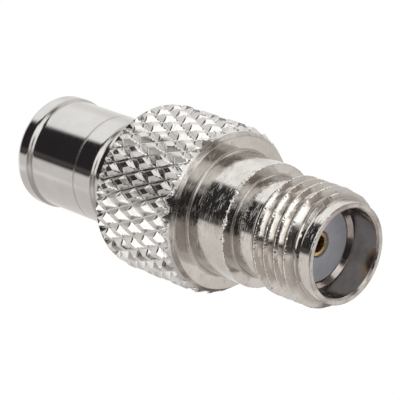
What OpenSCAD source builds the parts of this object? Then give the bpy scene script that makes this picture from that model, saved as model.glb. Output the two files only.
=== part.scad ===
// Coaxial adapter: threaded jack at the top, knurled grip, push-on plug at the bottom.
// Millimetres. It stands on the plug's rim with its axis on Z. Depths count down from the jack's face.

/* [Jack] */
// Diameter over the thread crests
thread_d = 6.32; // [6.2:0.01:6.35]
// Depth at which the thread ends
thread_end = 3.65; // [3.2:0.05:3.9]
// Diameter of the plain nose in front of the thread
nose_d = 5.36; // [5.2:0.02:5.44]
// Length of the plain nose
nose_len = 0.75; // [0.5:0.05:1]
// Length of the chamfer at the start of the thread
thread_lead = 0.3; // [0.2:0.05:0.6]
// Diameter of the mouth that takes the mating plug
mouth_d = 4.65; // [4.6:0.01:4.8]
// Depth of the mouth
mouth_depth = 1.9; // [1.7:0.05:2.1]

/* [Neck and shoulder] */
// Diameter of the neck behind the thread
neck_d = 5.4; // [5.2:0.05:5.6]
// Depth of the step
step_at = 5.5; // [5.2:0.05:6]
// Diameter of the step
step_d = 6.68; // [6.4:0.02:7]
// Radius in the corner between neck and step
step_fillet = 0.1; // [0.05:0.01:0.3]
// Distance from the grip's shoulder to the start of the knurl
shoulder_at = 0.45; // [0.3:0.05:0.8]
// Diameter of the shoulder's face
shoulder_d = 8.34; // [8.2:0.02:8.7]
// Radius in the corner between step and shoulder
shoulder_fillet = 0.12; // [0.05:0.01:0.4]

/* [Grip] */
// Diameter over the tips of the knurl
grip_d = 9.24; // [9.1:0.02:9.8]
// Distance from the end of the knurl to the body's rear edge
knurl_at = 0.25; // [0.15:0.05:0.6]
// Length of the knurl
knurl_len = 5.4; // [4.6:0.05:5.8]
// Number of diamonds round the grip
diamonds_round = 30; // [20:1:40]
// Length of one diamond along the grip
diamond_len = 2; // [1.4:0.01:2.6]
// Distance from the knurl's rear end to the middle of its first row
first_row = 0.6; // [0.05:0.05:0.95]
// Height of the diamonds from groove to tip
diamond_h = 0.27; // [0.2:0.01:0.4]
// Size of a diamond's flat top against the whole diamond
flat_share = 0.34; // [0.2:0.02:0.7]
// Length of the body from the jack's face to its rear edge
body_len = 14.25; // [13.8:0.05:15]
// Diameter of the body's rear edge
rear_edge_d = 8.2; // [8.1:0.02:8.5]

/* [Plug] */
// Length of the shell that shows behind the body
shell_len = 8.1; // [7:0.05:9]
// Diameter of the shell
shell_d = 6.1; // [6:0.02:6.3]
// Diameter of the lip at the shell's rim
lip_d = 6.35; // [6.3:0.01:6.7]
// Length of the lip
lip_len = 0.9; // [0.7:0.05:1.4]
// Length of the slope that leads up to the lip
lip_slope = 0.6; // [0.2:0.02:1]
// Diameter of the relief between the body and the shell's sleeve
relief_d = 5.88; // [5.6:0.02:6]
// Length of that relief
relief_len = 1.7; // [1:0.05:2]
// Length of the slope from the relief up to the sleeve
relief_slope = 0.46; // [0.2:0.02:0.8]
// Diameter of the plug's mouth, ahead of the finger tips
plug_mouth_d = 5.32; // [5.24:0.02:5.4]
// Diameter of the room round the fingers
plug_room_d = 4.9; // [4.86:0.02:4.92]

/* [Spring contact] */
// Inside diameter of the spring tube
spring_bore_d = 3.76; // [3.7:0.02:3.8]
// Wall of the spring fingers
spring_wall = 0.37; // [0.3:0.01:0.4]
// Height of the snap bead inside the finger tips
bead_h = 0.1; // [0.04:0.02:0.14]
// Distance from the rim to the finger tips
tip_inset = 1.1; // [1:0.1:1.6]
// Number of slots between the fingers
spring_slots = 6; // [4:2:8]
// Width of a slot
slot_w = 0.4; // [0.3:0.05:0.5]
// Length of a slot
slot_len = 4.6; // [3:0.1:5]

/* [Insulators and centre contact] */
// Diameter of the jack's insulator
front_insulator_d = 4.05; // [3.95:0.01:4.15]
// Diameter of the nose on the plug's insulator
insulator_nose_d = 2.96; // [2.9:0.02:3]
// Distance from the rim to that nose
insulator_inset = 2.4; // [2:0.1:3]
// Diameter of the centre contact at the jack
front_contact_d = 1.27; // [1.2:0.01:1.3]
// Diameter of the centre contact at the plug
rear_contact_d = 0.9; // [0.85:0.01:0.95]
// Hole in the jack's socket
front_socket_d = 0.94; // [0.9:0.01:0.96]
// Hole in the plug's socket
rear_socket_d = 0.52; // [0.48:0.01:0.56]
// Depth of the jack's socket
front_socket_depth = 3; // [2.4:0.1:3.6]
// Depth of the plug's socket
rear_socket_depth = 2.4; // [2:0.1:3]

/* [Hidden] */
$fn = 96;

// Room for the socket fingers to open, on the radius
finger_room = 0.08;
// Setback of the contact's ends from the insulator faces
contact_inset = 0.1;
// Small chamfer on turned edges
edge = 0.1;
// Round on the outer edge of the rim
rim_round = 0.25;
// Overlap that takes cutters past a face
past = 1;
// Step between the plug's mouth and the finger tips
mouth_step = 0.1;
// Depth of the grip's core under the grooves
core_depth = 0.2;
// Depth of the diamond ring's hole under the grooves
hole_depth = 0.35;
// Share of the diamonds' height that stands above the cones of the grip's two ends
cone_share = 0.4;
// Length of the spring's base behind the body
base_len = 1.1;
// Height of the spring's base over its fingers, on the radius
base_step = 0.1;
// Distance from the end of the spring's base back to the insulator's nose
nose_setback = 0.2;
// Length of the socket slots against the depth of the socket
slot_share = 0.7;

total_len = body_len + shell_len;
thread_r = thread_d / 2;
nose_r = nose_d / 2;
neck_r = neck_d / 2;
step_r = step_d / 2;
shell_r = shell_d / 2;
lip_r = lip_d / 2;
relief_r = relief_d / 2;
thread_at = nose_len + thread_lead;
neck_at = thread_end + thread_r - neck_r;

// Knurl
tip_r = grip_d / 2;
root_r = tip_r - diamond_h;
core_r = root_r - core_depth;
// Where the cones of the grip's two ends reach the diamonds
cone_r = tip_r - diamond_h * cone_share;
knurl_hole_r = root_r - hole_depth;
knurl_end = body_len - knurl_at;
knurl_start = knurl_end - knurl_len;
shoulder_depth = knurl_start - shoulder_at;
// The cones reach this far under the diamonds
knurl_lap = 0.1;
pitch = 360 / diamonds_round;
half_len = diamond_len / 2;
// Rows of diamonds, half a diamond apart, that reach past both ends of the knurl
rows = ceil((knurl_len + half_len - first_row) / half_len + 0.1);

// Inside: a rib in the body parts the two insulators, and all rear pieces stop against it
rib_at = 10.9;
rib_end = 11.8;
rib_r = 1.75;
spigot_r = 3.1;
seat_end = body_len + base_len;
spring_r = spring_bore_d / 2 + spring_wall;
spring_base_r = spring_r + base_step;
spring_bore_r = spring_bore_d / 2;
spring_len = total_len - tip_inset;
plug_mouth_depth = tip_inset - mouth_step;
bead_len = 0.7;
nose_at = seat_end - nose_setback;
nose_end = total_len - insulator_inset;
contact_collar_r = 0.9;
front_slot_w = 0.2;
rear_slot_w = 0.16;

// Turns a profile, drawn as [radius, -depth], about the axis and stands it on the rim
module turned() {
    translate([0, 0, total_len])
        rotate_extrude()
            children();
}

// Rectangle between two depths, from the axis out to a radius
module band(radius, from, to) {
    translate([0, -to])
        square([radius, to - from]);
}

// Hollow corner of a given radius, above a face and outside a cylinder
module corner(radius, depth, fillet) {
    difference() {
        translate([radius - edge, -depth - edge])
            square(fillet + edge);
        translate([radius + fillet, -depth + fillet])
            circle(fillet);
    }
}

// Point on the grip, by radius, turn and rows above the lowest one
function on_grip(radius, turn, rise) = [radius * cos(turn), radius * sin(turn), rise * half_len];

// Turn of the middle of diamond k in row j; every second row is set over by half a pitch
function middle(j, k) = (k + (j % 2) / 2) * pitch;

// Number of the groove crossing that lies over the middle of diamond k in row j
function crossing_over(j, k) = (k + j % 2) % diamonds_round;

// Ring of truncated diamonds, closed by a plain hole that stays buried in the core
module diamond_ring() {
    n = diamonds_round;
    m = rows;
    crossings = [for (j = [0:m], k = [0:n - 1]) on_grip(root_r, middle(j, k) - pitch / 2, j)];
    flats = [for (j = [0:m], k = [0:n - 1], side = [0:3])
        on_grip(tip_r, middle(j, k) + [-1, 0, 1, 0][side] * flat_share * pitch / 2,
            min(m, max(0, j + [0, 1, 0, -1][side] * flat_share)))];
    holes = [for (j = [0, m], k = [0:n - 1]) on_grip(knurl_hole_r, middle(j, k) - pitch / 2, j)];
    flat_from = len(crossings);
    hole_from = flat_from + len(flats);
    faces = [for (j = [0:m], k = [0:n - 1])
        let (
            next = (k + 1) % n,
            left = j * n + k,
            right = j * n + next,
            up = (j + 1) * n + crossing_over(j, k),
            down = (j - 1) * n + crossing_over(j, k),
            flat = flat_from + 4 * (j * n + k),
            upper = j == m ? [] : [
                [left, up, flat + 1], [left, flat + 1, flat],
                [up, right, flat + 2], [up, flat + 2, flat + 1],
                [flat, flat + 1, flat + 2]],
            lower = j == 0 ? [] : [
                [right, down, flat + 3], [right, flat + 3, flat + 2],
                [down, left, flat], [down, flat, flat + 3],
                [flat, flat + 2, flat + 3]],
            bottom_face = j == 0 ? [[left, flat, flat + 2, right, hole_from + next, hole_from + k]] : [],
            top_face = j == m
                ? [[hole_from + n + k, hole_from + n + next, right, flat + 2, flat, left]]
                : [],
            wall = j == 0
                ? [[hole_from + k, hole_from + next, hole_from + n + next],
                    [hole_from + k, hole_from + n + next, hole_from + n + k]]
                : []
        )
        each concat(upper, lower, bottom_face, top_face, wall)];
    polyhedron(concat(crossings, flats, holes), faces);
}

// The ring of diamonds, cut square at both ends of the knurl
module knurl() {
    translate([0, 0, total_len - knurl_end])
        intersection() {
            translate([0, 0, first_row - half_len])
                diamond_ring();
            cylinder(h = knurl_len, r = tip_r + past);
        }
}

module body_outline() {
    polygon([
        [0, 0],
        [nose_r - edge, 0],
        [nose_r, -edge],
        [nose_r, -nose_len],
        [thread_r, -thread_at],
        [thread_r, -thread_end],
        [neck_r, -neck_at],
        [neck_r, -step_at],
        [step_r, -step_at],
        [step_r, -shoulder_depth],
        [shoulder_d / 2, -shoulder_depth],
        [cone_r, -knurl_start - knurl_lap],
        [core_r, -knurl_start - knurl_lap],
        [core_r, -knurl_end + knurl_lap],
        [cone_r, -knurl_end + knurl_lap],
        [rear_edge_d / 2, -body_len],
        [0, -body_len],
    ]);
    corner(neck_r, step_at, min(step_fillet, step_r - neck_r - edge));
    corner(step_r, shoulder_depth, min(shoulder_fillet, shoulder_d / 2 - step_r - edge));
}

module body_bores() {
    band(mouth_d / 2, -past, mouth_depth);
    polygon([[0, past], [mouth_d / 2 + edge + past, past], [mouth_d / 2, -edge], [0, -edge]]);
    band(front_insulator_d / 2, mouth_depth - past, rib_at);
    band(rib_r, rib_at - past, rib_end + past);
    band(spigot_r, rib_end, body_len + past);
}

module body() {
    color("silver") {
        turned()
            difference() {
                body_outline();
                body_bores();
            }
        knurl();
    }
}

// Outside of the shell: spigot in the body, relief, straight sleeve and lip
module shell_outline() {
    sleeve_at = body_len + relief_len;
    lip_at = total_len - lip_len;
    polygon([
        [0, -lip_at - edge],
        [lip_r, -lip_at - edge],
        [lip_r, -lip_at],
        [shell_r, -lip_at + lip_slope],
        [shell_r, -sleeve_at - relief_slope],
        [relief_r, -sleeve_at],
        [relief_r, -body_len],
        [spigot_r, -body_len],
        [spigot_r, -rib_end],
        [0, -rib_end],
    ]);
    band(lip_r, lip_at, total_len - rim_round);
    band(lip_r - rim_round, lip_at, total_len);
    translate([lip_r - rim_round, -total_len + rim_round])
        circle(rim_round);
}

module shell() {
    color("gainsboro")
        turned()
            difference() {
                shell_outline();
                band(spring_base_r, rib_end - past, seat_end + past);
                band(plug_room_d / 2, seat_end, total_len + past);
                band(plug_mouth_d / 2, total_len - plug_mouth_depth, total_len + past);
            }
}

module spring_contact() {
    color("goldenrod")
        difference() {
            turned()
                difference() {
                    union() {
                        band(spring_base_r, rib_end, seat_end);
                        band(spring_r, rib_end, spring_len);
                    }
                    band(spring_bore_r, rib_end - past, spring_len - bead_len);
                    band(spring_bore_r - bead_h, rib_end - past, spring_len + past);
                    polygon([
                        [0, -spring_len + bead_len + edge],
                        [spring_bore_r, -spring_len + bead_len + edge],
                        [spring_bore_r, -spring_len + bead_len],
                        [spring_bore_r - bead_h, -spring_len + bead_len - bead_h],
                        [0, -spring_len + bead_len - bead_h],
                    ]);
                    polygon([
                        [0, -spring_len + bead_h * 2],
                        [spring_bore_r - bead_h, -spring_len + bead_h * 2],
                        [spring_bore_r + bead_h, -spring_len],
                        [spring_bore_r + bead_h, -spring_len - past],
                        [0, -spring_len - past],
                    ]);
                }
            for (i = [0:spring_slots / 2 - 1])
                rotate(i * 360 / spring_slots)
                    translate([-spring_base_r - past, -slot_w / 2, total_len - spring_len - past])
                        cube([2 * (spring_base_r + past), slot_w, slot_len + past]);
        }
}

module front_insulator() {
    color("white")
        turned()
            difference() {
                band(front_insulator_d / 2, mouth_depth, rib_at);
                band(front_contact_d / 2, mouth_depth - past, rib_at + past);
                band(front_contact_d / 2 + finger_room, mouth_depth - past, mouth_depth + front_socket_depth);
            }
}

module rear_insulator() {
    color("white")
        turned()
            difference() {
                union() {
                    band(spring_bore_r, rib_end, nose_at);
                    band(insulator_nose_d / 2, rib_end, nose_end);
                }
                band(rear_contact_d / 2, rib_end - past, nose_end + past);
                band(rear_contact_d / 2 + finger_room, nose_end - rear_socket_depth, nose_end + past);
            }
}

// Two crossed slots that part the end of a socket into four fingers
module socket_slots(radius, width, from, to) {
    for (turn = [0, 90])
        rotate(turn)
            translate([-radius - past, -width / 2, total_len - to])
                cube([2 * (radius + past), width, to - from]);
}

module centre_contact() {
    front_end = mouth_depth + contact_inset;
    rear_end = nose_end - contact_inset;
    color("gold")
        difference() {
            turned()
                difference() {
                    union() {
                        band(front_contact_d / 2, front_end, rib_end);
                        band(contact_collar_r, rib_at, rib_end);
                        band(rear_contact_d / 2, rib_at, rear_end);
                    }
                    band(front_socket_d / 2, front_end - past, front_end + front_socket_depth);
                    band(rear_socket_d / 2, rear_end - rear_socket_depth, rear_end + past);
                }
            socket_slots(front_contact_d / 2, front_slot_w, front_end - past,
                front_end + front_socket_depth * slot_share);
            socket_slots(rear_contact_d / 2, rear_slot_w, rear_end - rear_socket_depth * slot_share,
                rear_end + past);
        }
}

body();
shell();
spring_contact();
front_insulator();
rear_insulator();
centre_contact();
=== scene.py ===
"""Looks of the coax adapter: turned body with knurl and thread, plug shell, insulators and contacts."""

import math

import bmesh
import bpy
import numpy as np
from mathutils import Matrix, Vector, noise


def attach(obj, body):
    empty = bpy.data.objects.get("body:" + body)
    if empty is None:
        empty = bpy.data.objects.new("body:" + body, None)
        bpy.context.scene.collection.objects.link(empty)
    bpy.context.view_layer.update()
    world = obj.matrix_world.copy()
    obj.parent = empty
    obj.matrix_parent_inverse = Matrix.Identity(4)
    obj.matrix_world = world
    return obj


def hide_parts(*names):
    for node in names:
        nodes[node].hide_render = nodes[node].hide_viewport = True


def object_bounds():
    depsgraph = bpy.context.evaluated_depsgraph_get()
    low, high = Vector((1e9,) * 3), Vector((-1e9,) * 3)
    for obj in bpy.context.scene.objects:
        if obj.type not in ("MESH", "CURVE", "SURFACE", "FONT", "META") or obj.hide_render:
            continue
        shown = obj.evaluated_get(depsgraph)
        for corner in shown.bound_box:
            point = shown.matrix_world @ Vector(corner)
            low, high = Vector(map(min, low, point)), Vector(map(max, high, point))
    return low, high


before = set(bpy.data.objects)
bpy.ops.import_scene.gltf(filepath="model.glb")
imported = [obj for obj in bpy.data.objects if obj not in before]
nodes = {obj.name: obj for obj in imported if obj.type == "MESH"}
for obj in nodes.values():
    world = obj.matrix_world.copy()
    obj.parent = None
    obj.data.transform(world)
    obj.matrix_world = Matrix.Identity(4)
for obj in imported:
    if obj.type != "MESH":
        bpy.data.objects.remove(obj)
cad_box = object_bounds()

# Sizes in millimetres; depths count down from the jack's face
MM = 0.001
per_mm = 1000
total_len = (cad_box[1][2] - cad_box[0][2]) / MM

# Jack's nose and mouth, with the bevel and the gap round the insulator
nose_r = 2.68
nose_len = 0.75
nose_round = 0.07
mouth_r = 2.325
mouth_depth = 1.9
mouth_chamfer = 0.1
chamfer_round = 0.03
insulator_r = 2.025
bevel_in = 0.02
bevel_out = 0.2
bevel_round = 0.05
gap_wide = 0.08
gap_depth = 0.12
gap_at = mouth_depth + bevel_in

# Neck, step and shoulder
neck_r = 2.7
neck_fillet = 0.13
step_at = 5.5
step_r = 3.34
step_round = 0.04
shoulder_at = 8.15
shoulder_r = 4.17
shoulder_fillet = 0.16
edge_round = 0.05

# Rear of the body
body_len = 14.25
rear_edge_r = 4.1
rib_at = 10.9
rib_end = 11.8
rib_r = 1.75
spigot_r = 3.1

# Thread: its ridge starts under the root and spare turns lie hidden at both ends
thread_r = 3.16
thread_root_r = 2.72
thread_pitch = 25.4 / 36
thread_crest = 0.06
thread_flank = 30
thread_lead = 0.2
thread_end = 3.65
neck_at = thread_end + thread_r - neck_r
root_step = 0.03
root_round = 0.02
back_round = 0.01
ridge_sunk = 0.05
ridge_under = 0.08
ridge_hidden = 0.02
ridge_spare = 0.3
crest_crown = 0.004
crest_tear = 0.055
torn_band = 0.08
broad_tear = 0.4
lead_tear = 0.4
flank_shares = (0.0, 0.3, 0.6, 0.8, 0.88, 0.94, 1.0)

# Knurl: diamonds between crossed grooves, cut off by a cone in front and a slope behind
knurl_at = 8.6
knurl_end = 14.0
run_out_from = 8.42
run_out_to = 8.85
front_tips = 8.5
front_notches = 8.9
tip_r = 4.62
diamond_h = 0.27
root_r = tip_r - diamond_h
knurl_hole_r = root_r - 0.3
knurl_bed_r = root_r - 0.1
bed_slope = 0.03
diamonds_round = 30
diamond_len = 2.0
first_row = 0.6
flat_share = 0.34
wide_groove = 0.925
fine_groove = 0.97
turn_share = 0.04
flank_share = 0.05
broad_wear = 0.018
fine_wear = 0.008
cone_r = tip_r - 0.108
cone_end = knurl_at + 0.1
rear_slope = 0.3

# Shell: lip, sleeve with a scribed line, relief beside the knurl
shell_r = 3.05
lip_r = 3.175
lip_len = 0.9
lip_slope = 0.28
lip_round = 0.22
lip_at = total_len - lip_len
relief_r = 2.94
relief_len = 1.7
relief_slope = 0.25
sleeve_at = body_len + relief_len
slope_round = 0.6
scribe_at = 17.6
scribe_depth = 0.004
scribe_half = 0.09
scribe_round = 0.3
spring_base_r = 2.35
seat_end = body_len + 1.1
plug_room_r = 2.45
plug_mouth_r = 2.66
plug_mouth_depth = 1.0
plug_mouth_round = 0.04

# Socket fingers of the centre contact
contact_at = 2.0
contact_r = 0.635
socket_r = 0.47
slot_half = 0.1
tip_gap = 0.04
tip_len = 0.5

# Burrs: thickness, and how far each lies inside its edge
step_burr = 0.1
step_burr_in = 0.02
step_burr_back = 0.03
rim_burr = 0.022
rim_burr_in = 0.02
rim_burr_back = 0.05
knurl_burr = 0.045
knurl_burr_in = 0.01

# Bands of finish on the turned pieces
face_band = 0.08
edge_band = 0.02
corner_margin = 0.01
skin = 0.05

# Camera of the photo: distance and place of the jack's face as the camera sees it
lens = 198.1
sensor_wide = 36
nearest = 0.001
face_right = 7.329
face_up = -2.715
face_away = 110.0
axis_in_view = Vector((0.6834, -0.2497, 0.686))

# Turns round the axis in degrees: camera from a diamond's middle, thread and wear from the camera
camera_off = 5.1
camera_diamond = 8
thread_off = 244.3
wear_off = 8
camera_turn = math.radians(camera_off - camera_diamond * 360 / diamonds_round)
thread_phase = camera_turn + math.radians(thread_off)
worn_side = camera_turn - math.radians(wear_off)


def camera_axes():
    """Right, up and back directions of the photo's camera in the part's frame."""
    flat = math.hypot(axis_in_view.x, axis_in_view.y)
    back = Vector((flat * math.cos(camera_turn), flat * math.sin(camera_turn), axis_in_view.z))
    level = Vector((-math.sin(camera_turn), math.cos(camera_turn), 0))
    upright = back.cross(level)
    roll = math.atan2(axis_in_view.x, axis_in_view.y)
    right = math.cos(roll) * level + math.sin(roll) * upright
    up = math.cos(roll) * upright - math.sin(roll) * level
    return right.normalized(), up.normalized(), back.normalized()


view_right, view_up, view_back = camera_axes()


# Meshes

def supported(line, near=0.03):
    """Line with points added close to both ends of its long stretches, so that they shade as straight."""
    full = []
    for i, here in enumerate(line):
        after = line[(i + 1) % len(line)]
        full.append(here)
        reach = math.dist(here, after)
        if reach > 4 * near:
            for share in (near / reach, 1 - near / reach):
                full.append(tuple(a + (b - a) * share for a, b in zip(here, after)))
    return full


def rounded(corners, steps=6):
    """Line through corners (radius, depth, round), with each corner turned into an arc."""
    most_cut = 0.49
    line = []
    count = len(corners)
    for i, (r, s, size) in enumerate(corners):
        here = np.array((r, s))
        before = np.array(corners[i - 1][:2]) - here
        after = np.array(corners[(i + 1) % count][:2]) - here
        reach_before = np.linalg.norm(before)
        reach_after = np.linalg.norm(after)
        if size <= 0:
            line.append(tuple(here))
            continue
        before /= reach_before
        after /= reach_after
        angle = math.acos(np.clip(before @ after, -1, 1))
        cut = size / math.tan(angle / 2)
        cut = min(cut, most_cut * reach_before, most_cut * reach_after)
        size = cut * math.tan(angle / 2)
        middle = before + after
        middle /= np.linalg.norm(middle)
        centre = here + middle * size / math.sin(angle / 2)
        start = here + before * cut - centre
        end = here + after * cut - centre
        sweep = math.pi - angle
        for k in range(steps + 1):
            t = k / steps
            point = (math.sin((1 - t) * sweep) * start + math.sin(t * sweep) * end) / math.sin(sweep)
            line.append(tuple(centre + point))
    return line


def start_mesh(name, points, faces):
    """New mesh from points in millimetres, and its editable form."""
    mesh = bpy.data.meshes.new(name)
    mesh.from_pydata([(x * MM, y * MM, z * MM) for x, y, z in points], [], faces)
    bm = bmesh.new()
    bm.from_mesh(mesh)
    return mesh, bm


def finish_mesh(name, mesh, bm, sharp):
    """Piece with outward faces and smooth shading, apart from edges sharper than an angle in degrees."""
    bmesh.ops.remove_doubles(bm, verts=bm.verts, dist=1e-9)
    bmesh.ops.recalc_face_normals(bm, faces=bm.faces)
    if bm.calc_volume(signed=True) < 0:
        bmesh.ops.reverse_faces(bm, faces=bm.faces)
    bm.to_mesh(mesh)
    bm.free()
    mesh.shade_smooth()
    mesh.set_sharp_from_angle(angle=math.radians(sharp))
    piece = bpy.data.objects.new(name, mesh)
    bpy.context.scene.collection.objects.link(piece)
    return piece


def mesh_object(name, points, faces, sharp):
    """Piece made of points in millimetres and faces between them."""
    mesh, bm = start_mesh(name, points, faces)
    return finish_mesh(name, mesh, bm, sharp)


def on_round(radius, angle, depth):
    """Point at a radius, an angle round the axis and a depth, standing on the rim."""
    return radius * math.cos(angle), radius * math.sin(angle), total_len - depth


def ring_faces(around, count):
    """Faces of a ring of closed sections with count points each."""
    faces = []
    for i in range(around):
        here = i * count
        there = (i + 1) % around * count
        for k in range(count):
            after = (k + 1) % count
            faces.append((here + k, there + k, there + after, here + after))
    return faces


def turned(name, corners, around=256, sharp=40):
    """Piece turned from a closed line of corners (radius, depth, round)."""
    line = supported(rounded(corners))
    points = []
    for i in range(around):
        angle = 2 * math.pi * i / around
        for r, s in line:
            points.append(on_round(r, angle, s))
    return mesh_object(name, points, ring_faces(around, len(line)), sharp)


def waver(point, scale, seed):
    """Smooth noise from -1 to 1 at a point in millimetres."""
    return noise.noise(Vector(point) * scale + Vector((seed, 2 * seed, 3 * seed)))


def bumps(point, scale, seed):
    """Smooth noise with its lower half cut off."""
    return max(0.0, waver(point, scale, seed))


def ease(t):
    """Smooth step from 0 to 1."""
    t = min(1.0, max(0.0, t))
    return t * t * (3 - 2 * t)


def thread_ridge(name):
    """Helical ridge of the jack's thread, running out in a chamfer at both ends."""
    around = 540
    base_r = thread_root_r - ridge_sunk
    tall = thread_r - base_r
    half_crest = thread_crest / 2
    half_base = half_crest + tall * math.tan(math.radians(thread_flank))
    section = [(base_r - ridge_under, -half_base)]
    for share in flank_shares:
        section.append((base_r + tall * share, -half_base + (half_base - half_crest) * share))
    section.append((thread_r + crest_crown, 0.0))
    section += [(r, -s) for r, s in reversed(section[:-1])]
    first = nose_len - ridge_spare
    last = neck_at + ridge_spare
    stations = int((last - first) / thread_pitch * around)
    points = []
    for i in range(stations + 1):
        angle = 2 * math.pi * i / around + thread_phase
        depth = last - thread_pitch * i / around
        for r, s in section:
            at = depth + s
            front = nose_r + (at - nose_len) * (thread_r - nose_r) / thread_lead
            limit = min(front, neck_r + (neck_at - at))
            near = (thread_r * math.cos(angle), thread_r * math.sin(angle), at)
            torn = broad_tear * bumps(near, scale=6.0, seed=3.1) + bumps(near, scale=14.0, seed=5.7)
            nick = crest_tear * torn * ease((r - thread_r) / torn_band + 1)
            cut_r = min(r - nick, limit - lead_tear * crest_tear * torn)
            points.append(on_round(min(r, max(cut_r, base_r - ridge_hidden)), angle, at))
    count = len(section)
    faces = []
    for i in range(stations):
        here = i * count
        there = here + count
        for k in range(count):
            after = (k + 1) % count
            faces.append((here + k, here + after, there + after, there + k))
    faces.append(tuple(range(count)))
    faces.append(tuple(stations * count + k for k in range(count)))
    return mesh_object(name, points, faces, sharp=50)


def cone_at(depth):
    """Radius of the cone that leads from the shoulder onto the knurl."""
    return shoulder_r + (depth - shoulder_at) * (cone_r - shoulder_r) / (cone_end - shoulder_at)


def diamond_height(a, b):
    """Height share of the knurl at lattice place (a, b), each from -1 to 1 across one diamond."""
    up_wide = (wide_groove - abs(a)) / (wide_groove - flat_share)
    up_fine = (fine_groove - abs(b)) / (fine_groove - flat_share)
    return min(1.0, max(0.0, min(up_wide, up_fine)))


def diamond_cuts(groove):
    """Places from -1 to 1 across a diamond where its surface turns: flat top, flanks and groove floor."""
    top = [flat_share - turn_share, flat_share, flat_share + flank_share]
    flank = [0.55, 0.75]
    floor_edge = [groove - turn_share, groove, 1.0]
    side = top + flank + floor_edge
    return [-c for c in reversed(side)] + [0.0] + side


def knurl_surface():
    """Points and faces of rows of diamonds, reaching past both ends of the knurl."""
    pitch = 2 * math.pi / diamonds_round
    half = diamond_len / 2
    wide_cuts = diamond_cuts(wide_groove)
    fine_cuts = diamond_cuts(fine_groove)
    count = len(fine_cuts)
    low = total_len - knurl_end
    rows = math.ceil((knurl_end - run_out_from) / half) + 2
    points = []
    faces = []
    for j in range(-1, rows):
        for k in range(diamonds_round):
            middle = (k + ((j + 1) % 2) / 2) * pitch
            base = len(points)
            for a in wide_cuts:
                for b in fine_cuts:
                    turn = middle + (a + b) * pitch / 4
                    z = low + first_row + (j + (a - b) / 2) * half
                    depth = total_len - z
                    share = diamond_height(a, b)
                    near = (tip_r * math.cos(turn), tip_r * math.sin(turn), z)
                    wear = broad_wear * waver(near, scale=1.1, seed=5.2)
                    wear += fine_wear * waver(near, scale=5.0, seed=8.4)
                    limit = min(cone_at(depth), cone_r + (knurl_end - depth) * rear_slope, tip_r)
                    groove = ease((depth - run_out_from) / (run_out_to - run_out_from))
                    floor_r = limit - (limit - root_r) * groove
                    r = min(max(root_r + diamond_h * share + wear * share, floor_r), limit)
                    points.append((r * math.cos(turn), r * math.sin(turn), z))
            for p in range(count - 1):
                for q in range(count - 1):
                    corner = base + p * count + q
                    faces.append((corner, corner + 1, corner + count + 1, corner + count))
    return points, faces


def knurl_ring(name):
    """Rolled ring of diamonds with its crossed grooves, cut square at both ends."""
    mesh, bm = start_mesh(name, *knurl_surface())
    bmesh.ops.remove_doubles(bm, verts=bm.verts, dist=1e-7)
    for depth, way in ((knurl_end, -1), (run_out_from, 1)):
        bmesh.ops.bisect_plane(
            bm, geom=bm.verts[:] + bm.edges[:] + bm.faces[:], dist=1e-8,
            plane_co=(0, 0, (total_len - depth) * MM), plane_no=(0, 0, way), clear_outer=True)
    border = [e for e in bm.edges if e.is_boundary]
    inner = bmesh.ops.extrude_edge_only(bm, edges=border)["geom"]
    for v in inner:
        if isinstance(v, bmesh.types.BMVert):
            shrink = knurl_hole_r * MM / math.hypot(v.co.x, v.co.y)
            v.co.x *= shrink
            v.co.y *= shrink
    rims = [e for e in bm.edges if e.is_boundary]
    bmesh.ops.bridge_loops(bm, edges=rims)
    return finish_mesh(name, mesh, bm, sharp=25)


def finger_tips(name):
    """Tips of the jack's four socket fingers, pinched until their slots are almost shut."""
    gap_half = tip_gap / 2
    corners = ((socket_r, slot_half), (socket_r, gap_half), (contact_r, gap_half), (contact_r, slot_half))
    box = ((0, 1, 2, 3), (4, 5, 6, 7), (0, 1, 5, 4), (1, 2, 6, 5), (2, 3, 7, 6), (3, 0, 4, 7))
    points = []
    faces = []
    for slot in range(4):
        turn = Matrix.Rotation(slot * math.pi / 2, 3, "Z")
        for side in (-1, 1):
            base = len(points)
            for depth in (contact_at, contact_at + tip_len):
                for r, half in corners:
                    spot = turn @ Vector((math.sqrt(r * r - half * half), side * half, 0))
                    points.append((spot.x, spot.y, total_len - depth))
            faces += [tuple(base + k for k in face) for face in box]
    return mesh_object(name, points, faces, sharp=30)


def burr_ring(name, edge, size, seed):
    """Thin ragged ring of turned-up metal along an edge, heaviest on the worn side."""
    around = 1440
    across = 6
    least_heavy = 0.45
    least_thick = 0.3
    rough_thick = 1.6
    most_shift = 0.8
    flatness = 0.6
    points = []
    for i in range(around):
        angle = 2 * math.pi * i / around
        radius, depth = edge(angle)
        near = (radius * math.cos(angle), radius * math.sin(angle), depth)
        rough = bumps(near, scale=3.0, seed=seed) + bumps(near, scale=8.0, seed=seed + 7)
        heavy = least_heavy + max(0.0, math.cos(angle - worn_side)) ** 3
        thick = size * heavy * (least_thick + rough_thick * rough)
        shift = most_shift * size * heavy * waver(near, scale=6.0, seed=seed + 3)
        for k in range(across):
            spin = 2 * math.pi * k / across
            r = radius + flatness * thick * math.cos(spin)
            s = depth + shift + thick * math.sin(spin)
            points.append(on_round(r, angle, s))
    return mesh_object(name, points, ring_faces(around, across), sharp=60)


# Materials

def node(tree, kind, settings=None, **inputs):
    """Adds a shader node; inputs are numbers, colours or sockets of other nodes."""
    made = tree.nodes.new(kind)
    for key, value in (settings or {}).items():
        setattr(made, key, value)
    for key, value in inputs.items():
        numbered = key[0] == "i" and key[1:].isdigit()
        socket = made.inputs[int(key[1:]) if numbered else key.replace("_", " ")]
        if isinstance(value, bpy.types.NodeSocket):
            tree.links.new(value, socket)
        else:
            socket.default_value = value
    return made


def maths(tree, operation, *values):
    """Result of one math operation."""
    inputs = {"i%d" % k: value for k, value in enumerate(values)}
    return node(tree, "ShaderNodeMath", {"operation": operation}, **inputs).outputs[0]


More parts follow.
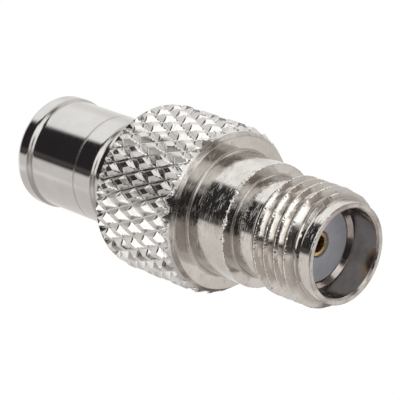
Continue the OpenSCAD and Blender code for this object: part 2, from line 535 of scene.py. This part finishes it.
def vectors(tree, operation, *values):
    """Outputs of one vector operation."""
    inputs = {"i%d" % k: value for k, value in enumerate(values)}
    return node(tree, "ShaderNodeVectorMath", {"operation": operation}, **inputs).outputs


def material(name):
    """New material with an empty node tree."""
    made = bpy.data.materials.new(name)
    made.use_nodes = True
    made.node_tree.nodes.clear()
    return made, made.node_tree


def mixed(tree, share, first, second):
    """Colour between first and second."""
    mix = node(tree, "ShaderNodeMix", {"data_type": "RGBA"}, i0=share, i6=first, i7=second)
    return mix.outputs[2]


def spread(tree, value, low, high, to_low=0.0, to_high=1.0):
    """Value from low..high taken smoothly to to_low..to_high."""
    made = node(tree, "ShaderNodeMapRange", {"interpolation_type": "SMOOTHSTEP", "clamp": True},
                Value=value, i1=low, i2=high, i3=to_low, i4=to_high)
    return made.outputs[0]


def grain(tree, place, along, across, detail=2.0):
    """Noise drawn out round the axis: along and across are its scales per millimetre."""
    scale = (along * per_mm, along * per_mm, across * per_mm)
    scaled = vectors(tree, "MULTIPLY", place, scale)[0]
    made = node(tree, "ShaderNodeTexNoise", None, Vector=scaled, Scale=1.0, Detail=detail, Roughness=0.6)
    return made.outputs[0]


soil_colour = (0.2, 0.13, 0.08, 1)
stain_colour = (0.22, 0.17, 0.13, 1)
# Brown of the painted shade in the thread's valleys
valley_shade_colour = (0.16, 0.125, 0.1, 1)
plastic_dirt = (0.25, 0.22, 0.2, 1)
finest_height = 0.4
speck_rough = 0.45
speck_height = 1.2
least_rough = 0.7
most_rough = 1.4
soil_soft = 0.05


def metal(name, light, dark, rough, marks, specks=0.0, tarnish=0.0, along=0.35, across=11.0, valley_shade=0.0,
          soil_from=0.74):
    """Turned metal: marks round the axis, uneven shine, dull specks and dirt, with painted shade that can
    darken the thread's valleys.
    """
    made, tree = material(name)
    place = node(tree, "ShaderNodeTexCoord").outputs["Object"]
    broad = grain(tree, place, along=0.6, across=0.6, detail=3.0)
    fine = grain(tree, place, along=along, across=across, detail=3.0)
    finest = grain(tree, place, along=along * 2, across=across * 3.1)
    dirt = grain(tree, place, along=5.5, across=5.5)
    colour = mixed(tree, spread(tree, broad, low=0.35, high=0.68), light, dark)
    soil = spread(tree, dirt, low=soil_from, high=soil_from + soil_soft, to_high=0.8)
    colour = mixed(tree, soil, colour, soil_colour)
    if tarnish > 0:
        blotch = grain(tree, place, along=1.6, across=1.6, detail=4.0)
        stain = spread(tree, blotch, low=0.45, high=0.72, to_high=tarnish)
        colour = mixed(tree, stain, colour, stain_colour)
    # Painted shade: the colour darkens towards the thread's root, in the valleys between the ridges.
    if valley_shade > 0:
        flat = vectors(tree, "MULTIPLY", place, (1, 1, 0))[0]
        radius = vectors(tree, "LENGTH", flat)["Value"]
        darkest_to = (thread_root_r + 0.02) * MM
        unshaded_from = (thread_r - 0.12) * MM
        valley_shade_mask = spread(tree, radius, low=darkest_to, high=unshaded_from, to_low=valley_shade, to_high=0.0)
        colour = mixed(tree, valley_shade_mask, colour, valley_shade_colour)
    shine = spread(tree, fine, low=0.3, high=0.75, to_low=rough * least_rough, to_high=rough * most_rough)
    height = maths(tree, "MULTIPLY_ADD", finest, finest_height, fine)
    if specks > 0:
        cloud = grain(tree, place, along=0.9, across=1.6, detail=3.0)
        patch = spread(tree, cloud, low=0.3, high=0.62, to_high=specks)
        lines = grain(tree, place, along=2.2, across=15.0, detail=3.0)
        streaks = spread(tree, lines, low=0.47, high=0.72)
        spots = maths(tree, "MULTIPLY", patch, streaks)
        shine = maths(tree, "MULTIPLY_ADD", spots, speck_rough, shine)
        height = maths(tree, "MULTIPLY_ADD", spots, speck_height, height)
    bump = node(tree, "ShaderNodeBump", None, Strength=1.0, Distance=marks * MM, Height=height)
    shader = node(tree, "ShaderNodeBsdfPrincipled", None, Base_Color=colour, Metallic=1.0, Roughness=shine,
                  Normal=bump.outputs[0])
    node(tree, "ShaderNodeOutputMaterial", None, Surface=shader.outputs[0])
    return made


def plastic(name, light, dark, rough, marks):
    """Machined fluoroplastic with faint tool marks."""
    made, tree = material(name)
    place = node(tree, "ShaderNodeTexCoord").outputs["Object"]
    broad = grain(tree, place, along=1.2, across=1.2, detail=3.0)
    dirt = grain(tree, place, along=7.0, across=7.0)
    colour = mixed(tree, spread(tree, broad, low=0.35, high=0.7), light, dark)
    soil = spread(tree, dirt, low=0.7, high=0.78, to_high=0.6)
    colour = mixed(tree, soil, colour, plastic_dirt)
    height = grain(tree, place, along=3.0, across=3.0, detail=4.0)
    bump = node(tree, "ShaderNodeBump", None, Strength=0.4, Distance=marks * MM, Height=height)
    shader = node(tree, "ShaderNodeBsdfPrincipled", None, Base_Color=colour, Roughness=rough,
                  Normal=bump.outputs[0])
    node(tree, "ShaderNodeOutputMaterial", None, Surface=shader.outputs[0])
    return made


# Each finish has its light and dark colour, its roughness and the height of its marks
nickel = metal(
    "nickel", (0.71, 0.695, 0.675, 1), (0.65, 0.63, 0.61, 1), rough=0.09, marks=0.0012, specks=0.6)
nickel_cut = metal(
    "nickel_cut", (0.71, 0.69, 0.665, 1), (0.62, 0.595, 0.565, 1), rough=0.08, marks=0.002,
    specks=1.0, tarnish=0.12)
# Thread: painted shade darkens its valleys.
nickel_thread = metal(
    "nickel_thread", (0.86, 0.84, 0.81, 1), (0.76, 0.73, 0.69, 1), rough=0.1, marks=0.0015,
    specks=0.5, tarnish=0.2, valley_shade=0.35, soil_from=0.68)
nickel_cone = metal(
    "nickel_cone", (0.60, 0.57, 0.54, 1), (0.36, 0.33, 0.31, 1), rough=0.2, marks=0.005,
    specks=1.0, tarnish=0.5, along=2.0, across=5.0)
nickel_face = metal(
    "nickel_face", (0.70, 0.675, 0.65, 1), (0.52, 0.485, 0.46, 1), rough=0.22, marks=0.002,
    specks=0.8, tarnish=0.4, along=3.0, across=3.0)
nickel_bore = metal(
    "nickel_bore", (0.60, 0.55, 0.52, 1), (0.50, 0.45, 0.42, 1), rough=0.17, marks=0.0005, tarnish=0.3)
nickel_bevel = metal(
    "nickel_bevel", (0.64, 0.61, 0.58, 1), (0.54, 0.50, 0.47, 1), rough=0.12, marks=0.001, tarnish=0.4)
# Painted shade: near-black nickel for the narrow gap round the insulator, where shade falls.
painted_gap_shade = metal(
    "painted_gap_shade", (0.16, 0.13, 0.12, 1), (0.08, 0.065, 0.06, 1), rough=0.4, marks=0.001)
nickel_knurl = metal(
    "nickel_knurl", (0.66, 0.65, 0.635, 1), (0.60, 0.585, 0.565, 1), rough=0.13, marks=0.002,
    specks=0.3, along=2.0, across=3.0)
nickel_smooth = metal(
    "nickel_smooth", (0.60, 0.59, 0.58, 1), (0.56, 0.548, 0.535, 1), rough=0.06, marks=0.0005)
# Rougher nickel whose darker colour is painted shade along the sleeve's slopes and scribed line.
nickel_rough_shaded = metal(
    "nickel_rough_shaded", (0.47, 0.455, 0.44, 1), (0.41, 0.395, 0.38, 1), rough=0.2, marks=0.0006)
# Painted shade: darker nickel for the inside corners and their fillets.
nickel_corner_shade = metal(
    "nickel_corner_shade", (0.62, 0.60, 0.575, 1), (0.51, 0.49, 0.465, 1), rough=0.26, marks=0.0012,
    specks=0.3, tarnish=0.25)
nickel_burr = metal(
    "nickel_burr", (0.86, 0.85, 0.83, 1), (0.74, 0.72, 0.69, 1), rough=0.22, marks=0.004,
    specks=0.6, along=4.0, across=4.0)
gold = metal(
    "contact_gold", (0.88, 0.66, 0.36, 1), (0.76, 0.52, 0.26, 1), rough=0.3, marks=0.001,
    along=2.0, across=5.0)
spring_gold = metal(
    "spring_gold", (0.82, 0.64, 0.34, 1), (0.70, 0.52, 0.25, 1), rough=0.24, marks=0.001,
    along=1.0, across=6.0)
ptfe = plastic(
    "ptfe", (0.71, 0.73, 0.77, 1), (0.62, 0.64, 0.69, 1), rough=0.45, marks=0.004)


# Pieces

def keep(piece, slot_name, finishes, *stands_for):
    """Puts a piece on the one body, with its finishes and the solids it stands for; its slot name is not
    used.
    """
    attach(piece, "root")
    if stands_for:
        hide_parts(*stands_for)
    for finish in finishes:
        piece.data.materials.append(finish)


def paint_bands(piece, bands):
    """Gives each face the finish of the last band that its middle lies in.

    A band has its first and last depth, its least and most radius and its finish.
    """
    for face in piece.data.polygons:
        x, y, z = face.center / MM
        r = math.hypot(x, y)
        s = total_len - z
        for from_s, to_s, least, most, finish in bands:
            if from_s <= s <= to_s and least <= r <= most:
                face.material_index = piece.data.materials.find(finish.name)


def shaded_corner_band(radius, depth, fillet):
    """Band of an inside corner with its fillet, where darker nickel paints shade."""
    return (depth - fillet - corner_margin, depth + corner_margin,
            radius - corner_margin, radius + fillet + corner_margin, nickel_corner_shade)


body = turned("body_turned", [
    (mouth_r + mouth_chamfer, 0.0, chamfer_round),
    (nose_r, 0.0, nose_round),
    (nose_r, nose_len, root_round),
    (thread_root_r, nose_len + root_step, root_round),
    (thread_root_r, neck_at - root_step, back_round),
    (neck_r, neck_at, back_round),
    (neck_r, step_at, neck_fillet),
    (step_r, step_at, step_round),
    (step_r, shoulder_at, shoulder_fillet),
    (shoulder_r, shoulder_at, edge_round),
    (cone_at(run_out_from), run_out_from, 0.0),
    (knurl_bed_r, run_out_from + bed_slope, 0.0),
    (knurl_bed_r, knurl_end - 2 * bed_slope, 0.0),
    (cone_r, knurl_end - bed_slope, 0.0),
    (rear_edge_r, body_len, edge_round),
    (spigot_r, body_len, 0.0),
    (spigot_r, rib_end, 0.0),
    (rib_r, rib_end, 0.0),
    (rib_r, rib_at, 0.0),
    (insulator_r, rib_at, 0.0),
    (insulator_r, gap_at + gap_depth, 0.0),
    (insulator_r + gap_wide, gap_at, 0.0),
    (mouth_r, mouth_depth - bevel_out, bevel_round),
    (mouth_r, mouth_chamfer, chamfer_round),
])
body_finishes = [
    nickel, nickel_cut, nickel_face, nickel_bore, nickel_bevel, nickel_cone, painted_gap_shade, nickel_corner_shade]
keep(body, "nickel", body_finishes, "body")
paint_bands(body, [
    (-skin, face_band, mouth_r - skin, nose_r + skin, nickel_face),
    (face_band, nose_len, nose_r - skin, nose_r + skin, nickel_cut),
    (thread_end, shoulder_at, neck_r - skin, step_r + skin, nickel_cut),
    (shoulder_at - skin, shoulder_at + edge_band, step_r + skin, shoulder_r + skin, nickel_cut),
    (shoulder_at + edge_band, knurl_at, shoulder_r - skin, tip_r, nickel_cone),
    # Painted shade: the inside corners at the step and the shoulder in darker nickel.
    shaded_corner_band(neck_r, step_at, neck_fillet),
    shaded_corner_band(step_r, shoulder_at, shoulder_fillet),
    (face_band, mouth_depth, insulator_r, mouth_r + mouth_chamfer, nickel_bore),
    (mouth_depth - bevel_out - skin, gap_at, insulator_r + skin, mouth_r - edge_band, nickel_bevel),
    # Painted shade: the gap round the insulator in near-black nickel.
    (gap_at, gap_at + gap_depth + skin, insulator_r - skin, insulator_r + gap_wide, painted_gap_shade),
])

keep(thread_ridge("body_thread"), "nickel", [nickel_thread])
keep(knurl_ring("body_knurl"), "nickel", [nickel_knurl])


def step_edge(angle):
    """Front edge of the step."""
    return step_r - step_burr_in, step_at + step_burr_back


def rim_edge(angle):
    """Outer edge of the jack's face."""
    return nose_r - rim_burr_in, rim_burr_back


def knurl_front(angle):
    """Zigzag line along which the front cone meets the diamonds."""
    off = abs((angle * diamonds_round / (2 * math.pi)) % 1 - 0.5) * 2
    depth = front_tips + (front_notches - front_tips) * off
    return min(cone_at(depth), tip_r) - knurl_burr_in, depth


for name, edge, size, seed in (
    ("body_step_burr", step_edge, step_burr, 1.7),
    ("body_rim_burr", rim_edge, rim_burr, 6.1),
    ("body_knurl_burr", knurl_front, knurl_burr, 4.3),
):
    keep(burr_ring(name, edge, size, seed), "nickel", [nickel_burr])

keep(finger_tips("contact_tips"), "contact_gold", [gold])

shell = turned("shell_turned", [
    (spigot_r, body_len, 0.0),
    (relief_r, body_len, 0.0),
    (relief_r, sleeve_at, slope_round),
    (shell_r, sleeve_at + relief_slope, slope_round),
    (shell_r, scribe_at - scribe_half, 0.0),
    (shell_r - scribe_depth, scribe_at, scribe_round),
    (shell_r, scribe_at + scribe_half, 0.0),
    (shell_r, lip_at - lip_slope, slope_round),
    (lip_r, lip_at, slope_round),
    (lip_r, total_len, lip_round),
    (plug_mouth_r, total_len, plug_mouth_round),
    (plug_mouth_r, total_len - plug_mouth_depth, 0.0),
    (plug_room_r, total_len - plug_mouth_depth, 0.0),
    (plug_room_r, seat_end, 0.0),
    (spring_base_r, seat_end, 0.0),
    (spring_base_r, rib_end, 0.0),
    (spigot_r, rib_end, 0.0),
])
keep(shell, "nickel_smooth", [nickel_smooth, nickel_rough_shaded], "shell")
paint_bands(shell, [
    # Painted shade: the relief slope, the scribed line and the lip's slope in rougher, darker nickel.
    (sleeve_at - skin, sleeve_at + relief_slope + skin, relief_r - skin, shell_r + skin, nickel_rough_shaded),
    (scribe_at - scribe_half, scribe_at + scribe_half, shell_r - skin, shell_r + skin, nickel_rough_shaded),
    (lip_at - lip_slope - skin, lip_at + skin, shell_r - skin, lip_r + skin, nickel_rough_shaded),
])

for name, slot_name, finish in (
    ("spring_contact", "spring_gold", spring_gold),
    ("front_insulator", "ptfe", ptfe),
    ("rear_insulator", "ptfe", ptfe),
    ("centre_contact", "contact_gold", gold),
):
    nodes[name].data.materials.clear()
    nodes[name].data.materials.append(finish)


# Floor, light and camera

floor_half = 0.6
floor_drop = 0.00002
floor_light = (0.9, 0.9, 0.9, 1)
floor_dark = (0.88, 0.88, 0.88, 1)
glow_strength = 1.08
glow_share = 0.9
white = (1, 1, 1, 1)


def floor_material():
    """White floor that shows only the soft shadow of the part."""
    made, tree = material("floor_white")
    path = node(tree, "ShaderNodeLightPath")
    place = node(tree, "ShaderNodeTexCoord").outputs["Object"]
    colour = mixed(tree, grain(tree, place, along=0.01, across=0.01), floor_light, floor_dark)
    matte = node(tree, "ShaderNodeBsdfDiffuse", None, Color=colour)
    glow = node(tree, "ShaderNodeEmission", None, Color=white, Strength=glow_strength)
    share = maths(tree, "MULTIPLY", path.outputs["Is Camera Ray"], glow_share)
    shader = node(tree, "ShaderNodeMixShader", None, i0=share, i1=matte.outputs[0], i2=glow.outputs[0])
    node(tree, "ShaderNodeOutputMaterial", None, Surface=shader.outputs[0])
    return made


floor_mesh = bpy.data.meshes.new("floor")
floor_corners = [(x * floor_half, y * floor_half, 0) for x, y in ((-1, -1), (1, -1), (1, 1), (-1, 1))]
floor_mesh.from_pydata(floor_corners, [], [(0, 1, 2, 3)])
floor = bpy.data.objects.new("floor", floor_mesh)
bpy.context.scene.collection.objects.link(floor)
floor_mesh.materials.append(floor_material())
floor.location.z = -floor_drop
floor.visible_glossy = False

# Room round the photo's camera: walls above eye level, pale paper below, and soft panels over both
wall_low = (0.95, 0.935, 0.915, 1)
wall_high = (1.2, 1.19, 1.18, 1)
paper_near = (0.66, 0.63, 0.61, 1)
paper_far = (0.86, 0.82, 0.79, 1)
plain_light = (0.45, 0.45, 0.465, 1)

# Panels: turn to the left of the camera, height, both half widths and soft edge in degrees, and colour
panels = (
    (-2, 72, 62, 14, 5, (0.3, 0.275, 0.26, 1)),
    (-20, -48, 40, 17, 5, (0.45, 0.41, 0.38, 1)),
    (58, -42, 16, 17, 4, (1.05, 1.02, 1.0, 1)),
    (-105, 15, 27, 30, 6, (0.6, 0.57, 0.55, 1)),
    (-62, 22, 16, 19, 4, (0.3, 0.26, 0.23, 1)),
    (-47, 50, 19, 9, 4, (0.22, 0.19, 0.16, 1)),
    (-160, -24, 26, 28, 6, (0.2, 0.185, 0.175, 1)),
    (120, -10, 12, 9, 4, (1.4, 1.39, 1.37, 1)),
    (70, -14, 15, 11, 4, (0.52, 0.49, 0.47, 1)),
    (86, 24, 14, 27, 3, (0.03, 0.027, 0.029, 1)),
    (88, 3, 13, 3, 2, (0.09, 0.08, 0.075, 1)),
    (54, 22, 12, 24, 4, (1.75, 1.73, 1.7, 1)),
    (72, 54, 18, 10, 3, (0.06, 0.055, 0.055, 1)),
    (38, 45, 9, 22, 4, (1.75, 1.73, 1.7, 1)),
    (63, -8, 8, 4, 2, (0.03, 0.027, 0.027, 1)),
    (0, 33, 30, 12, 4, (1.3, 1.29, 1.27, 1)),
    (-45, 14, 11, 12, 3, (1.5, 1.48, 1.45, 1)),
    (-40, -13, 13, 14, 3, (0.05, 0.045, 0.045, 1)),
    (36, 5, 10, 13, 4, (0.06, 0.055, 0.055, 1)),
    (10, -8, 38, 18, 3, (0.035, 0.03, 0.032, 1)),
    (-56, 41, 17, 5, 3, (0.12, 0.1, 0.09, 1)),
    (-15, 13, 9, 5, 3, (0.06, 0.05, 0.05, 1)),
    (-2, -29, 14, 5, 3, (0.05, 0.045, 0.045, 1)),
)


def studio_world():
    """Room that the metal mirrors; other rays see plain white light."""
    world = bpy.data.worlds.new("studio")
    world.use_nodes = True
    world.cycles.sampling_method = "NONE"
    tree = world.node_tree
    tree.nodes.clear()
    way = node(tree, "ShaderNodeTexCoord").outputs["Generated"]

    def along(direction):
        return vectors(tree, "DOT_PRODUCT", way, tuple(direction))["Value"]

    def rise(low, high):
        return spread(tree, height, math.radians(low), math.radians(high))

    def window(value, middle, half, soft):
        off = maths(tree, "ABSOLUTE", maths(tree, "SUBTRACT", value, math.radians(middle)))
        return spread(tree, off, math.radians(half - soft), math.radians(half + soft), 1.0, 0.0)

    left_turn = maths(tree, "ARCTAN2", along(-view_right), along(view_back))
    height = maths(tree, "ARCSINE", along(view_up))
    walls = mixed(tree, rise(35, 55), wall_low, wall_high)
    paper = mixed(tree, rise(-70, -8), paper_near, paper_far)
    colour = mixed(tree, rise(-5.5, -3.5), paper, walls)
    for turn, lift, half_turn, half_height, soft, panel in panels:
        across = window(left_turn, turn, half_turn, soft)
        upward = window(height, lift, half_height, soft)
        colour = mixed(tree, maths(tree, "MULTIPLY", across, upward), colour, panel)
    path = node(tree, "ShaderNodeLightPath")
    light = mixed(tree, path.outputs["Is Glossy Ray"], plain_light, colour)
    light = mixed(tree, path.outputs["Is Camera Ray"], light, white)
    ground = node(tree, "ShaderNodeBackground", None, Color=light, Strength=1.0)
    node(tree, "ShaderNodeOutputWorld", None, Surface=ground.outputs[0])
    return world


bpy.context.scene.world = studio_world()

camera_data = bpy.data.cameras.new("camera")
camera_data.lens = lens
camera_data.sensor_width = sensor_wide
camera_data.clip_start = nearest
camera = bpy.data.objects.new("camera", camera_data)
bpy.context.scene.collection.objects.link(camera)
jack_face = Vector((0, 0, total_len * MM))
eye = jack_face - (face_right * view_right + face_up * view_up - face_away * view_back) * MM
view_turn = Matrix((view_right, view_up, view_back)).transposed()
camera.matrix_world = Matrix.Translation(eye) @ view_turn.to_4x4()
bpy.context.scene.camera = camera
bpy.context.scene.view_settings.view_transform = "Standard"
